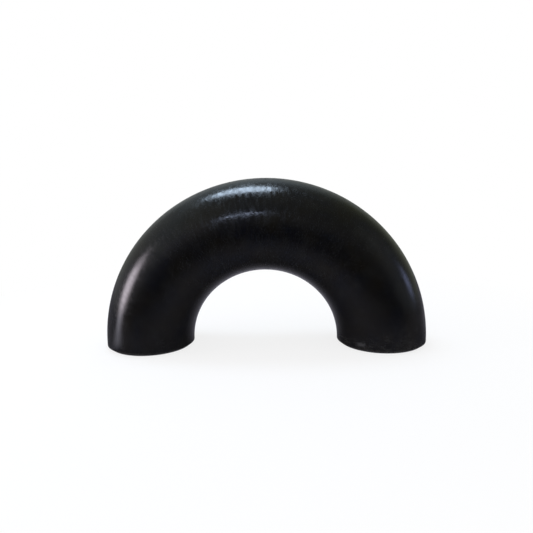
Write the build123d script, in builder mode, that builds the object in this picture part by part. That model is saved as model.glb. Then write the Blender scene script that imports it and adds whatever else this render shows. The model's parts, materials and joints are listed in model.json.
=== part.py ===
from build123d import *
from math import radians, tan
import os

# Butt-weld return bend: one seamless steel tube turned through half a circle.
# Frame: millimetres, +Z up. The origin is midway between the legs, on the plane
# of the end faces. X runs across the legs and Y through the arch.

# Driving dimensions
outside_diameter = 114.3     # pipe outside diameter
wall = 6.02                  # standard wall for this pipe
centre_to_centre = 304.8     # from one leg's axis to the other's
end_straight = 3.0           # short straight left at each end when it is sized
bevel_angle = 37.5           # weld bevel, measured up from the end face
root_face = 1.6              # flat land left at the bore for the weld root
corner_round = 0.5           # bevel's upper corner, softened by shot blasting

# Worked out from them
outer_radius = outside_diameter / 2
bore_radius = outer_radius - wall
bend_radius = centre_to_centre / 2
land_radius = bore_radius + root_face
leg_sides = (-1, 1)

# The bevel tool reaches past the tube's outside by one wall, on the bevel's slope.
tool_radius = outer_radius + wall
tool_height = (tool_radius - land_radius) * tan(radians(bevel_angle))

# Where the straights end and the half turn begins
spring_plane = Plane.XY.offset(end_straight)
bend_axis = Axis(spring_plane.origin, (0, -1, 0))

with BuildPart() as return_bend:
    # Half turn: the ring-shaped section of one leg, carried over to the other
    with BuildSketch(spring_plane):
        with Locations((bend_radius, 0)):
            Circle(outer_radius)
            Circle(bore_radius, mode=Mode.SUBTRACT)
    revolve(axis=bend_axis, revolution_arc=180)

    # Short straight at each end, from the end face up to the half turn
    with BuildSketch(Plane.XY):
        with Locations(*[(side * bend_radius, 0) for side in leg_sides]):
            Circle(outer_radius)
            Circle(bore_radius, mode=Mode.SUBTRACT)
    extrude(amount=end_straight)

    # Weld bevel: a ring of triangular section is turned off the outside of each end
    for side in leg_sides:
        leg_axis = Axis((side * bend_radius, 0, 0), (0, 0, 1))
        with BuildSketch(Plane.XZ):
            with BuildLine():
                Polyline(
                    (side * (bend_radius + land_radius), 0),
                    (side * (bend_radius + tool_radius), 0),
                    (side * (bend_radius + tool_radius), tool_height),
                    close=True,
                )
            make_face()
        revolve(axis=leg_axis, mode=Mode.SUBTRACT)

    # Upper corner of each bevel, where it meets the tube's outside
    bevels = return_bend.faces().filter_by(GeomType.CONE)
    corners = [bevel.edges().sort_by(Axis.Z)[-1] for bevel in bevels]
    fillet(corners, radius=corner_round)

return_bend.part.label = "return_bend"

os.makedirs("parts", exist_ok=True)
export_step(return_bend.part, "parts/return_bend.step")
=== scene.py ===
import json
import math

import bpy
import numpy as np
from mathutils import Matrix, Vector, noise


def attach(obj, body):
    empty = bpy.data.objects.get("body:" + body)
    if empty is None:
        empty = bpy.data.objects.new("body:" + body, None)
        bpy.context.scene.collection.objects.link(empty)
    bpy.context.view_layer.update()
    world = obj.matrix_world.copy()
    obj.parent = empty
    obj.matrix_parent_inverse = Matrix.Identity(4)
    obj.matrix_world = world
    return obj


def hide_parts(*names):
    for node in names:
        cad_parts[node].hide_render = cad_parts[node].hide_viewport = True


# Looks of a butt-weld return bend: one seamless steel tube turned through half a
# circle, standing on its two bevelled ends, under sprayed black paint.
# Metres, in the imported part's frame. Lengths named _mm or _MM are millimetres.

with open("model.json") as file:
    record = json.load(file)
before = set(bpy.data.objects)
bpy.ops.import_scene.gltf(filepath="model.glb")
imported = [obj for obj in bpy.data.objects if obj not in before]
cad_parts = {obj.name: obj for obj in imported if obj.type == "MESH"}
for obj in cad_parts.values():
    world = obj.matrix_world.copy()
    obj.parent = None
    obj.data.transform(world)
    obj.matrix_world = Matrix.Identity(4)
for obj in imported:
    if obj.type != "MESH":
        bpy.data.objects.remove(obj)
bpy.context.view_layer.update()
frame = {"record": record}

MM = 0.001

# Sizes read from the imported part: X spans both legs, Y one tube, Z end faces to crown.
SPAN, DEPTH, HEIGHT = frame["record"]["size"]["bbox_m"]
OUTER_RADIUS = DEPTH / 2
BEND_RADIUS = SPAN / 2 - OUTER_RADIUS
END_STRAIGHT = HEIGHT - BEND_RADIUS - OUTER_RADIUS
HALF_LENGTH = math.pi * BEND_RADIUS / 2 + END_STRAIGHT

# Weld end
WALL = 6.02 * MM
ROOT_FACE = 1.6 * MM
BEVEL_ANGLE = math.radians(37.5)
CORNER_ROUND = 0.5 * MM
TURN_START = 1.6 * MM   # the half turn's first section stands clear of that rounded corner

# Fineness of the mesh
AROUND = 224            # points around the section
OUTSIDE_RINGS = 300     # sections along the outside of the half turn
BORE_RINGS = 116        # sections along the bore
CORNER_RINGS = 5        # sections round the bevel's upper corner
# Sections across the root land and up the bevel, as shares of each. Those close to an
# edge keep it crisp.
LAND_SHARES = (0.0, 0.04, 0.5, 0.96)
BEVEL_SHARES = (0.0, 0.03, 0.35, 0.7, 0.97)
SHARP_ANGLE = math.radians(30)

# Waves that forming the hot tube left in its outside: half height, pitch along the
# tube, pitch around it, and the place in the noise that each is cut from.
FORMING_WAVES_MM = (
    (0.12, 95.0, 80.0, (0.0, 5.1, 9.7)),
    (0.06, 27.0, 45.0, (17.3, 5.1, 9.7)),
)
WAVE_FADE_MM = 5.0      # the sized ends are true: waves start this far up and are full at twice that

# Paint
SHEEN_ROUGHNESS = 0.21
DASH_ROUGHNESS = 0.11       # that the crosswise dashes add or take away
HANDLED_ROUGHNESS = 0.25    # that dust or rubbing adds
RIPPLE_DEPTH = 0.20 * MM
PEEL_DEPTH = 0.025 * MM

# Where the paint changes, as distances along the tube
DASHES_MM = (60.0, 145.0)               # from the crown: full up to the first, weakest from the second
LEG_MM = 150.0                          # from the crown: beyond this each leg has its own share of dust
DUST_MM = (4.0, 30.0)                   # from an end face: thickest up to the first, gone at the second
WORN_CORNER_MM = (2.7, 3.4, 3.9, 5.0)   # from an end face: starts, full from, full to, gone
# A rubbed spot low on the right leg: its middle as a point of the straightened tube, which
# is along it, across it and up from its axis, how far round the tube it is fully worn and
# where it ends, and how much wider than high it is
RUBBED_SPOT_MM = (231.3, -46.2, -33.7)
RUBBED_REACH_MM = (3.0, 8.5)
RUBBED_FLATNESS = 1.8

# Bore
SCALE_DEPTH = 0.04 * MM

# Studio
FLOOR_RADIUS = 12.0
SHADOW_FADE = (0.2, 0.6)    # from the origin: the floor's shadow shows up to the first, none at the second
SKY_BRIGHTNESS = 0.72       # of the world's light, with 1 for white
ROOM_REACH = 2.2            # from the origin to each wall
ROOM_HEIGHT = 2.4
WALL_MIDDLE = 1.1
OVERLAP = 0.05              # the walls run past each other by this
TABLE_LEVEL = -0.004        # just under the end faces
GLARE_LEVEL = -0.002
ROOM_END = ROOM_REACH + OVERLAP

# Camera, fitted to the bend's outline in the photograph: metres, degrees and shares of the frame
CAMERA_PLACE = (0.01090, -0.64884, 0.21321)
AZIMUTH, ELEVATION, ROLL = 1.888, 13.473, -1.227
LENS_MM, SENSOR_MM = 34.42, 36.0
LENS_SHIFT = (0.01846, 0.06199)


def bevel_height():
    return (WALL - ROOT_FACE) * math.tan(BEVEL_ANGLE)


def ring_on_leg(side, radius, height):
    """A level section of one leg: its centre, radius, outward direction and place along the tube."""
    centre = Vector((side * BEND_RADIUS, 0, height))
    return centre, radius, Vector((side, 0, 0)), side * (HALF_LENGTH - height)


def ring_on_turn(angle, radius):
    """A section across the half turn, at an angle counted from the right leg over the crown."""
    outward = Vector((math.cos(angle), 0, math.sin(angle)))
    centre = outward * BEND_RADIUS + Vector((0, 0, END_STRAIGHT))
    return centre, radius, outward, (math.pi / 2 - angle) * BEND_RADIUS


def bevel_rings(side):
    """Sections from the bore across the root land, up the bevel and round its upper corner."""
    bore = OUTER_RADIUS - WALL
    land = bore + ROOT_FACE
    lean = math.pi / 2 - BEVEL_ANGLE
    reach = CORNER_ROUND * math.tan(lean / 2)
    slope_width = OUTER_RADIUS - land - reach * math.cos(BEVEL_ANGLE)
    rings = [ring_on_leg(side, bore + ROOT_FACE * share, 0.0) for share in LAND_SHARES]
    for share in BEVEL_SHARES:
        width = slope_width * share
        rings.append(ring_on_leg(side, land + width, width * math.tan(BEVEL_ANGLE)))
    for angle in np.linspace(lean, 0.0, CORNER_RINGS):
        radius = OUTER_RADIUS - CORNER_ROUND * (1 - math.cos(angle))
        height = bevel_height() + reach - CORNER_ROUND * math.sin(angle)
        rings.append(ring_on_leg(side, radius, height))
    return rings


def outside_rings():
    """Sections in order: right weld end, outside over the crown, left weld end."""
    first = TURN_START / BEND_RADIUS
    angles = np.linspace(first, math.pi - first, OUTSIDE_RINGS)
    turn = [ring_on_turn(angle, OUTER_RADIUS) for angle in angles]
    return bevel_rings(1) + turn + bevel_rings(-1)[::-1]


def bore_rings():
    """Sections back through the bore, from the left leg to the right one."""
    return [ring_on_turn(angle, OUTER_RADIUS - WALL) for angle in np.linspace(math.pi, 0.0, BORE_RINGS)]


def forming_wave(place_mm):
    """Height of the formed surface's waves at a point of the straightened tube, in millimetres."""
    along, across, up = place_mm
    height = 0.0
    for half_height, pitch, pitch_around, noise_place in FORMING_WAVES_MM:
        point = Vector((along / pitch, across / pitch_around, up / pitch_around))
        height += half_height * noise.noise(point + Vector(noise_place))
    to_end = HALF_LENGTH / MM - abs(along)
    return height * min(max(to_end / WAVE_FADE_MM - 1, 0.0), 1.0)


def ring_points(ring, waved):
    """Points round one section, and the place of each on the straightened tube in millimetres."""
    centre, radius, outward, along = ring
    points, places = [], []
    for turn in np.linspace(0, 2 * math.pi, AROUND, endpoint=False):
        up, across = math.cos(turn), math.sin(turn)
        place = np.array((along, radius * across, radius * up)) / MM
        lift = forming_wave(place) * MM if waved else 0.0
        points.append(centre + (outward * up + Vector((0, across, 0))) * (radius + lift))
        places.append(place)
    return points, places


def build_bend():
    """The whole tube as one closed mesh, its bore on the second material."""
    outside, bore = outside_rings(), bore_rings()
    rings = outside + bore
    points, places = [], []
    for number, ring in enumerate(rings):
        ring_of_points, ring_of_places = ring_points(ring, waved=number < len(outside))
        points += ring_of_points
        places += ring_of_places
    rows = np.arange(len(rings))[:, None]
    columns = np.arange(AROUND)[None, :]
    next_row, next_column = (rows + 1) % len(rings), (columns + 1) % AROUND
    corners = [(rows, columns), (rows, next_column), (next_row, next_column), (next_row, columns)]
    faces = np.stack([row * AROUND + column for row, column in corners], -1).reshape(-1, 4)

    mesh = bpy.data.meshes.new("return_bend_tube")
    mesh.from_pydata(points, [], faces.tolist())
    tube_mm = mesh.attributes.new("tube_mm", "FLOAT_VECTOR", "POINT")
    tube_mm.data.foreach_set("vector", np.array(places, np.float32).reshape(-1))
    in_bore = np.repeat(np.arange(len(rings)) >= len(outside) - 1, AROUND)
    mesh.polygons.foreach_set("material_index", in_bore.astype(np.int32))
    mesh.polygons.foreach_set("use_smooth", np.ones(len(faces), bool))
    mesh.set_sharp_from_angle(angle=SHARP_ANGLE)
    mesh.update()
    bend = bpy.data.objects.new("return_bend_tube", mesh)
    bpy.context.scene.collection.objects.link(bend)
    return bend


def tone(code):
    """An sRGB hex value as linear RGBA."""
    parts = [int(code[i:i + 2], 16) / 255 for i in (1, 3, 5)]
    return [c / 12.92 if c <= 0.04045 else ((c + 0.055) / 1.055) ** 2.4 for c in parts] + [1.0]


def add(tree, kind, settings=None, links=None, output=0):
    """Adds a shader node, sets its properties and sockets, links its inputs and gives one of its outputs."""
    node = tree.nodes.new("ShaderNode" + kind)
    for key, value in (settings or {}).items():
        if isinstance(key, str) and hasattr(node, key):
            setattr(node, key, value)
        else:
            node.inputs[key].default_value = value
    for key, source in (links or {}).items():
        tree.links.new(source, node.inputs[key])
    return node.outputs[output] if len(node.outputs) else None


def new_material(name):
    material = bpy.data.materials.new(name)
    material.use_nodes = True
    material.node_tree.nodes.clear()
    return material, material.node_tree


# Sockets that share a name go by number: 0, 1 and 2 in Math, VectorMath and MixShader,
# and in Mix the share 0, the colours 6 and 7 and the mixed colour 2.


def tube_place(tree):
    """A point's place on the straightened tube, in millimetres: along it, across it and up from its axis."""
    return add(tree, "Attribute", {"attribute_name": "tube_mm"}, output="Vector")


def tube_pattern(tree, along_mm, around_mm, detail, roughness):
    """Noise with a pitch along the tube and another around it."""
    cells = add(tree, "VectorMath", {"operation": "DIVIDE", 1: (along_mm, around_mm, around_mm)},
                {0: tube_place(tree)})
    return add(tree, "TexNoise", {"Scale": 1.0, "Detail": detail, "Roughness": roughness}, {"Vector": cells})


def place_along(tree):
    """Distance from the crown along the tube, in millimetres: positive on the right leg, else negative."""
    return add(tree, "SeparateXYZ", None, {"Vector": tube_place(tree)}, "X")


def reach_from_crown(tree):
    """Distance from the crown along the tube on either side, in millimetres."""
    return add(tree, "Math", {"operation": "ABSOLUTE"}, {0: place_along(tree)})


def reach_from_end(tree):
    """Distance from the nearer end face along the tube, in millimetres."""
    return add(tree, "Math", {"operation": "SUBTRACT", 0: HALF_LENGTH / MM}, {1: reach_from_crown(tree)})


def crown_share(tree, legs):
    """1 round the crown, falling to the share that the legs keep."""
    full, weakest = DASHES_MM
    return add(tree, "MapRange", {"From Min": full, "From Max": weakest, "To Min": 1.0, "To Max": legs},
               {"Value": reach_from_crown(tree)})


def handling_dust(tree):
    """Grey dust from handling, in patches by the weld ends and fainter on the left leg."""
    side = add(tree, "MapRange", {"From Min": -LEG_MM, "From Max": LEG_MM, "To Min": 0.25},
               {"Value": place_along(tree)})
    full, gone = DUST_MM
    near = add(tree, "MapRange", {"From Min": full, "From Max": gone, "To Min": 1.0, "To Max": 0.0},
               {"Value": reach_from_end(tree)})
    patches = add(tree, "MapRange", {"From Min": 0.44, "From Max": 0.66, "To Max": 0.65},
                  {"Value": tube_pattern(tree, 6, 11, 3, 0.6)})
    dust = add(tree, "Math", {"operation": "MULTIPLY"}, {0: near, 1: patches})
    return add(tree, "Math", {"operation": "MULTIPLY"}, {0: dust, 1: side})


def worn_corner(tree):
    """Paint rubbed thin on the bevel's upper corner, in broken lengths."""
    from_end = reach_from_end(tree)
    starts, full_from, full_to, gone = WORN_CORNER_MM
    below = add(tree, "MapRange", {"From Min": starts, "From Max": full_from}, {"Value": from_end})
    above = add(tree, "MapRange", {"From Min": full_to, "From Max": gone, "To Min": 1.0, "To Max": 0.0},
                {"Value": from_end})
    line = add(tree, "Math", {"operation": "MULTIPLY"}, {0: below, 1: above})
    lengths = add(tree, "MapRange", {"From Min": 0.42, "From Max": 0.62, "To Min": 0.1, "To Max": 0.5},
                  {"Value": tube_pattern(tree, 6, 9, 2, 0.5)})
    return add(tree, "Math", {"operation": "MULTIPLY"}, {0: line, 1: lengths})


def rubbed_spot(tree):
    """One spot about 11 mm wide and 6 mm high where something rubbed the paint, with a ragged edge."""
    worn, ends = RUBBED_REACH_MM
    offset = add(tree, "VectorMath", {"operation": "SUBTRACT", 1: RUBBED_SPOT_MM}, {0: tube_place(tree)})
    shaped = add(tree, "VectorMath", {"operation": "MULTIPLY", 1: (RUBBED_FLATNESS, 1.0, 1.0)}, {0: offset})
    gap = add(tree, "VectorMath", {"operation": "LENGTH"}, {0: shaped}, "Value")
    ragged = add(tree, "MapRange", {"From Min": 0.3, "From Max": 0.7, "To Min": -2.2, "To Max": 2.2},
                 {"Value": tube_pattern(tree, 2.5, 4, 2, 0.5)})
    edge = add(tree, "Math", {"operation": "ADD"}, {0: gap, 1: ragged})
    return add(tree, "MapRange", {"From Min": worn, "From Max": ends, "To Min": 0.8, "To Max": 0.0},
               {"Value": edge})


def paint_colour(tree, dust, spot):
    """Near-black, drifting from bluish to brownish, with a faint mottle and grey where it is handled."""
    drift = add(tree, "MapRange", {"From Min": 0.35, "From Max": 0.65},
                {"Value": tube_pattern(tree, 45, 30, 2, 0.5)})
    colour = add(tree, "Mix", {"data_type": "RGBA", 6: tone("#0a0b10"), 7: tone("#110f0c")}, {0: drift}, 2)
    mottle = add(tree, "MapRange", {"From Min": 0.50, "From Max": 0.74, "To Max": 0.5},
                 {"Value": tube_pattern(tree, 15, 18, 3, 0.5)})
    layers = ((mottle, "#1a1a19"), (dust, "#2a2927"), (worn_corner(tree), "#3c3a36"), (spot, "#3b3b3c"))
    for share, code in layers:
        colour = add(tree, "Mix", {"data_type": "RGBA", 7: tone(code)}, {0: share, 6: colour}, 2)
    return colour


def paint_gloss(tree, dust, spot):
    """Roughness of the sheen: dashes across the tube, weaker down the legs, and dull where it is handled."""
    dashes = add(tree, "MapRange", {"From Min": 0.32, "From Max": 0.68, "To Min": -DASH_ROUGHNESS,
                                    "To Max": DASH_ROUGHNESS}, {"Value": tube_pattern(tree, 3.2, 10, 2, 0.5)})
    sheen = add(tree, "Math", {"operation": "MULTIPLY_ADD", 2: SHEEN_ROUGHNESS},
                {0: dashes, 1: crown_share(tree, 0.5)})
    handled = add(tree, "Math", {"operation": "MAXIMUM"}, {0: dust, 1: spot})
    return add(tree, "Math", {"operation": "MULTIPLY_ADD", 1: HANDLED_ROUGHNESS}, {0: handled, 2: sheen})


def paint_relief(tree):
    """Crosswise ripple of the formed steel, strongest over the crown, under the paint's low orange peel.

    The peel is about 1 mm across on sprayed paint, finer than a pixel of the render: drawn 3 mm across."""
    ripple = add(tree, "Math", {"operation": "MULTIPLY"},
                 {0: tube_pattern(tree, 3.0, 7, 2, 0.5), 1: crown_share(tree, 0.15)})
    steel = add(tree, "Bump", {"Strength": 1.0, "Distance": RIPPLE_DEPTH}, {"Height": ripple})
    peel = tube_pattern(tree, 2.8, 3.4, 0, 0.5)
    return add(tree, "Bump", {"Strength": 1.0, "Distance": PEEL_DEPTH}, {"Height": peel, "Normal": steel})


def black_paint():
    """Satin black alkyd sprayed on blasted steel: near-black, its soft sheen broken by crosswise dashes."""
    material, tree = new_material("satin_black_alkyd_paint")
    dust, spot = handling_dust(tree), rubbed_spot(tree)
    shader = add(tree, "BsdfPrincipled", None, {
        "Base Color": paint_colour(tree, dust, spot),
        "Roughness": paint_gloss(tree, dust, spot),
        "Normal": paint_relief(tree)})
    add(tree, "OutputMaterial", None, {"Surface": shader})
    return material


def scaled_bore():
    """Hot-formed steel left as it came from the furnace: dull blue-grey scale, a little rusty.

    The scale's grain is well under 1 mm on real steel and is drawn 1.6 mm wide, to show at all."""
    material, tree = new_material("mill_scale_steel")
    clouds = add(tree, "MapRange", {"From Min": 0.38, "From Max": 0.66},
                 {"Value": tube_pattern(tree, 38, 26, 4, 0.6)})
    colour = add(tree, "Mix", {"data_type": "RGBA", 6: tone("#2a2b2f"), 7: tone("#35322f")}, {0: clouds}, 2)
    rust = add(tree, "MapRange", {"From Min": 0.62, "From Max": 0.78, "To Max": 0.6},
               {"Value": tube_pattern(tree, 9, 7, 5, 0.65)})
    colour = add(tree, "Mix", {"data_type": "RGBA", 7: tone("#4a3527")}, {0: rust, 6: colour}, 2)
    grain = tube_pattern(tree, 1.6, 1.6, 3, 0.6)
    gloss = add(tree, "MapRange", {"From Min": 0.3, "From Max": 0.7, "To Min": 0.5, "To Max": 0.72},
                {"Value": grain})
    relief = add(tree, "Bump", {"Strength": 1.0, "Distance": SCALE_DEPTH}, {"Height": grain})
    shader = add(tree, "BsdfPrincipled", None, {"Base Color": colour, "Roughness": gloss, "Normal": relief})
    add(tree, "OutputMaterial", None, {"Surface": shader})
    return material


def seen_rays(tree):
    """1 for rays from the camera, off a mirror or through glass, and 0 for the rest."""
    seen = add(tree, "LightPath", output="Is Camera Ray")
    for other in ("Is Glossy Ray", "Is Transmission Ray"):
        path = add(tree, "LightPath", output=other)
        seen = add(tree, "Math", {"operation": "MAXIMUM"}, {0: seen, 1: path})
    return seen


def round_sheet(name, radius, corners=96):
    """A flat round sheet at floor level."""
    mesh = bpy.data.meshes.new(name)
    turns = np.linspace(0, 2 * math.pi, corners, endpoint=False)
    rim = [(radius * math.cos(turn), radius * math.sin(turn), 0.0) for turn in turns]
    mesh.from_pydata(rim, [], [list(range(corners))])
    sheet = bpy.data.objects.new(name, mesh)
    bpy.context.scene.collection.objects.link(sheet)
    return sheet


def studio_floor():
    """Matte white paper that shows white, apart from a light shadow round the bend."""
    material, tree = new_material("white_paper_floor")
    distance = add(tree, "VectorMath", {"operation": "LENGTH"},
                   {0: add(tree, "TexCoord", output="Object")}, "Value")
    near, far = SHADOW_FADE
    whitened = add(tree, "MapRange", {"From Min": near, "From Max": far, "To Min": 0.8, "To Max": 1.0},
                   {"Value": distance})
    share = add(tree, "Math", {"operation": "MULTIPLY"}, {0: whitened, 1: seen_rays(tree)})
    paper = add(tree, "BsdfDiffuse", {"Color": tone("#f4f4f4")})
    white = add(tree, "Emission", {"Color": tone("#ffffff"), "Strength": 1.0})
    mixed = add(tree, "MixShader", None, {0: share, 1: paper, 2: white})
    add(tree, "OutputMaterial", None, {"Surface": mixed})
    floor = round_sheet("studio_floor", FLOOR_RADIUS)
    floor.data.materials.append(material)
    floor.visible_glossy = False


def studio_world():
    """White where it is seen past the floor, and a soft grey light everywhere else."""
    world = bpy.data.worlds.new("studio")
    bpy.context.scene.world = world
    world.use_nodes = True
    tree = world.node_tree
    tree.nodes.clear()
    strength = add(tree, "MapRange", {"To Min": SKY_BRIGHTNESS, "To Max": 1.0}, {"Value": seen_rays(tree)})
    sky = add(tree, "Background", {"Color": tone("#ffffff")}, {"Strength": strength})
    add(tree, "OutputWorld", None, {"Surface": sky})


def softbox(name, centre, facing, size, brightness, colour,
            shape="RECTANGLE", spin=0.0, even=0.5, middle=0.5):
    """A lamp of a stated brightness in its middle, where 1 is white, and dimmer towards its edge.

    spin turns it about the way it faces, in degrees. even is the share of its half width that has the
    full brightness, and middle is where its brightest part stands, as a share of its width."""
    lamp = bpy.data.lights.new(name, "AREA")
    lamp.shape = shape
    lamp.size, lamp.size_y = size
    lamp.color = tone(colour)[:3]
    lamp.energy = brightness * math.pi * size[0] * size[1] * (math.pi / 4 if shape == "ELLIPSE" else 1)
    lamp.use_nodes = True
    tree = lamp.node_tree
    tree.nodes.clear()
    from_middle = add(tree, "VectorMath", {"operation": "SUBTRACT", 1: (middle, 0.5, 0.0)},
                      {0: add(tree, "NewGeometry", output="Parametric")})
    reach = add(tree, "VectorMath", {"operation": "LENGTH"}, {0: from_middle}, "Value")
    falloff = add(tree, "MapRange", {
        "interpolation_type": "SMOOTHSTEP",
        "From Min": 0.5 * even, "From Max": 0.5, "To Min": 1.0, "To Max": 0.0}, {"Value": reach})
    add(tree, "OutputLight", None, {"Surface": add(tree, "Emission", None, {"Strength": falloff})})
    holder = bpy.data.objects.new(name, lamp)
    holder.location = centre
    turn = Vector(facing).to_track_quat("-Z", "Y").to_matrix() @ Matrix.Rotation(math.radians(spin), 3, "Z")
    holder.rotation_euler = turn.to_euler()
    bpy.context.scene.collection.objects.link(holder)


def studio_lamps():
    """A softbox overhead, one beside the left leg, a thin strip up in front and a small one at the right."""
    softbox("overhead_softbox", (-0.44, 0.28, 1.2), (0, 0, -1), (1.08, 0.42), 12.3, "#d2e7ff",
            spin=-17, even=0.6, middle=0.78)
    softbox("left_softbox", (-1.2, -0.245, 0.28), (1, 0, 0), (0.66, 0.92), 10.4, "#fff4ff",
            shape="ELLIPSE", even=0.1)
    softbox("front_softbox", (-0.29, -1.5, 1.12), (0, 1, 0), (0.58, 0.075), 22.0, "#cfdeff",
            spin=-7, even=0.85)
    softbox("right_softbox", (1.2, 0.09, 0.25), (-1, 0, 0), (0.42, 0.42), 1.9, "#b8c6ff", even=0.15)


def mirrored_sheet(name, rows):
    """A sheet that only mirrored rays meet. Each of its points has a place, a brightness and a colour."""
    material, tree = new_material(name)
    glow = add(tree, "Attribute", {"attribute_name": "glow"}, output="Color")
    add(tree, "OutputMaterial", None, {"Surface": add(tree, "Emission", None, {"Color": glow})})
    points = [point for row in rows for point in row]
    width = len(rows[0])
    faces = [(i, i + 1, i + 1 + width, i + width) for i in range(len(points) - width) if (i + 1) % width]
    mesh = bpy.data.meshes.new(name)
    mesh.from_pydata([point[:3] for point in points], [], faces)
    mesh.materials.append(material)
    glows = [brightness * channel for x, y, z, brightness, colour in points for channel in tone(colour)]
    mesh.attributes.new("glow", "FLOAT_COLOR", "POINT").data.foreach_set("color", glows)
    sheet = bpy.data.objects.new(name, mesh)
    bpy.context.scene.collection.objects.link(sheet)
    sheet.visible_camera = sheet.visible_diffuse = sheet.visible_shadow = False
    sheet.visible_transmission = False


def wall(name, place, columns, rows):
    """A wall of the grey room, its rows from low to high. Each point has a brightness and a colour."""
    heights = (-OVERLAP, WALL_MIDDLE, ROOM_HEIGHT + OVERLAP)
    mirrored_sheet(name, [[(*place(across, height), *glow) for across, glow in zip(columns, row)]
                          for height, row in zip(heights, rows)])


def studio_room():
    """The grey room round the bend, which the paint mirrors in place of the white backdrop."""
    columns = (-ROOM_END, 0.0, ROOM_END)
    # Along the ceiling from left to right, which the walls' top rows share
    front = ((0.25, "#f2faf6"), (0.13, "#f6fcf4"), (0.09, "#fbfff0"))
    middle = ((0.38, "#e6f6f6"), (0.18, "#f0f6f4"), (0.10, "#f6ffe2"))
    back = ((0.26, "#eefcf8"), (0.60, "#e1f4ff"), (0.17, "#f4ffd2"))
    wall("back_wall", lambda x, z: (x, ROOM_REACH, z), columns, (
        ((0.22, "#f9fff9"), (0.28, "#f9fff9"), (0.28, "#f9ffea")),
        ((0.34, "#f9fff9"), (0.40, "#f4fdff"), (0.25, "#f8ffde")),
        back))
    wall("left_wall", lambda y, z: (-ROOM_REACH, y, z), columns, (
        ((0.10, "#fbfaff"), (0.36, "#fbfaff"), (0.25, "#f9fff9")),
        ((0.31, "#f8fcf4"), (0.35, "#f9fbf6"), (0.31, "#f9fff4")),
        (front[0], middle[0], back[0])))
    # The right wall is dark towards the front and dips again behind its middle, so it has five columns
    wall("right_wall", lambda y, z: (ROOM_REACH, y, z), (-ROOM_END, -0.75, 0.0, 0.75, ROOM_END), (
        ((0.02, "#ffffff"), (0.20, "#f0f8ff"), (0.28, "#f0f8ff"), (0.22, "#f9fff4"), (0.28, "#f9ffea")),
        ((0.08, "#ffffff"), (0.25, "#f6fcff"), (0.17, "#f6fcff"), (0.11, "#f8ffe6"), (0.24, "#f8ffde")),
        (front[2], (0.11, "#f6ffe2"), middle[2], (0.12, "#f6ffe2"), back[2])))
    wall("front_wall", lambda x, z: (x, -ROOM_REACH, z), columns, (
        ((0.06, "#ffffff"), (0.00, "#ffffff"), (0.01, "#ffffff")),
        ((0.30, "#f6f6ff"), (0.10, "#ffffff"), (0.08, "#ffffff")),
        front))
    mirrored_sheet("ceiling", [[(x, y, ROOM_HEIGHT, *glow) for x, glow in zip(columns, row)]
                               for y, row in zip(columns, (front, middle, back))])


def studio_tabletop_light_and_shade():
    """The pale tabletop that the bend stood on, with painted shade and light round the bend and the left
    softbox's glare painted on it.
    """
    table = "#efedff"
    # A brightness for each place, its rows from front to back. The dip in the middle just under the bend is
    # painted shadow, and the bright middle behind it a painted pool of light.
    columns = (-ROOM_END, -0.3, 0.0, 0.3, 0.65, ROOM_END)
    rows = (
        (-ROOM_END, (0.02, 0.01, 0.01, 0.01, 0.01, 0.02)),
        (-0.35, (0.04, 0.01, 0.01, 0.01, 0.02, 0.04)),
        (-0.12, (0.13, 0.18, 0.18, 0.17, 0.14, 0.13)),
        (-0.01, (0.14, 0.12, 0.06, 0.10, 0.14, 0.13)),
        (0.06, (0.14, 0.15, 0.26, 0.18, 0.12, 0.13)),
        (0.12, (0.14, 0.15, 0.44, 0.26, 0.09, 0.12)),
        (0.6, (0.14, 0.18, 0.28, 0.22, 0.20, 0.12)),
        (ROOM_END, (0.18, 0.20, 0.24, 0.26, 0.28, 0.25)),
    )
    mirrored_sheet("tabletop", [[(x, y, TABLE_LEVEL, value, table) for x, value in zip(columns, row)]
                                for y, row in rows])

    # The glare is dimmer and narrower towards the bend: its middle's place, half width and brightness
    glare = (
        (-0.215, -0.045, 0.03, 0.3),
        (-0.26, -0.056, 0.036, 1.1),
        (-0.32, -0.068, 0.042, 1.5),
        (-0.42, -0.085, 0.055, 2.0),
        (-0.60, -0.120, 0.09, 2.7),
        (-1.15, -0.200, 0.16, 3.0),
    )
    edges_and_middle = ((-1, 0.2), (0, 1.3), (1, 0.2))
    mirrored_sheet("table_glare", [
        [(x, y + side * half_width, GLARE_LEVEL, value * share, table) for side, share in edges_and_middle]
        for x, y, half_width, value in glare])


def camera():
    """The photograph's view, from the place and the angles that fit the bend's outline."""
    azimuth, elevation, roll = (math.radians(angle) for angle in (AZIMUTH, ELEVATION, ROLL))
    back = Vector((math.sin(azimuth) * math.cos(elevation), -math.cos(azimuth) * math.cos(elevation),
                   math.sin(elevation)))
    level = Vector((math.cos(azimuth), math.sin(azimuth), 0))
    upright = back.cross(level)
    right = level * math.cos(roll) + upright * math.sin(roll)
    up = upright * math.cos(roll) - level * math.sin(roll)
    lens = bpy.data.cameras.new("camera")
    lens.sensor_width = SENSOR_MM
    lens.lens = LENS_MM
    lens.shift_x, lens.shift_y = LENS_SHIFT
    stand = bpy.data.objects.new("camera", lens)
    stand.matrix_world = Matrix.Translation(CAMERA_PLACE) @ Matrix((right, up, back)).transposed().to_4x4()
    bpy.context.scene.collection.objects.link(stand)
    bpy.context.scene.camera = stand


bend = build_bend()
bend.data.materials.append(black_paint())
bend.data.materials.append(scaled_bore())
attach(bend, "root")
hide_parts("return_bend")

studio_floor()
studio_world()
studio_lamps()
studio_room()
studio_tabletop_light_and_shade()
camera()
bpy.context.scene.view_settings.view_transform = "Standard"
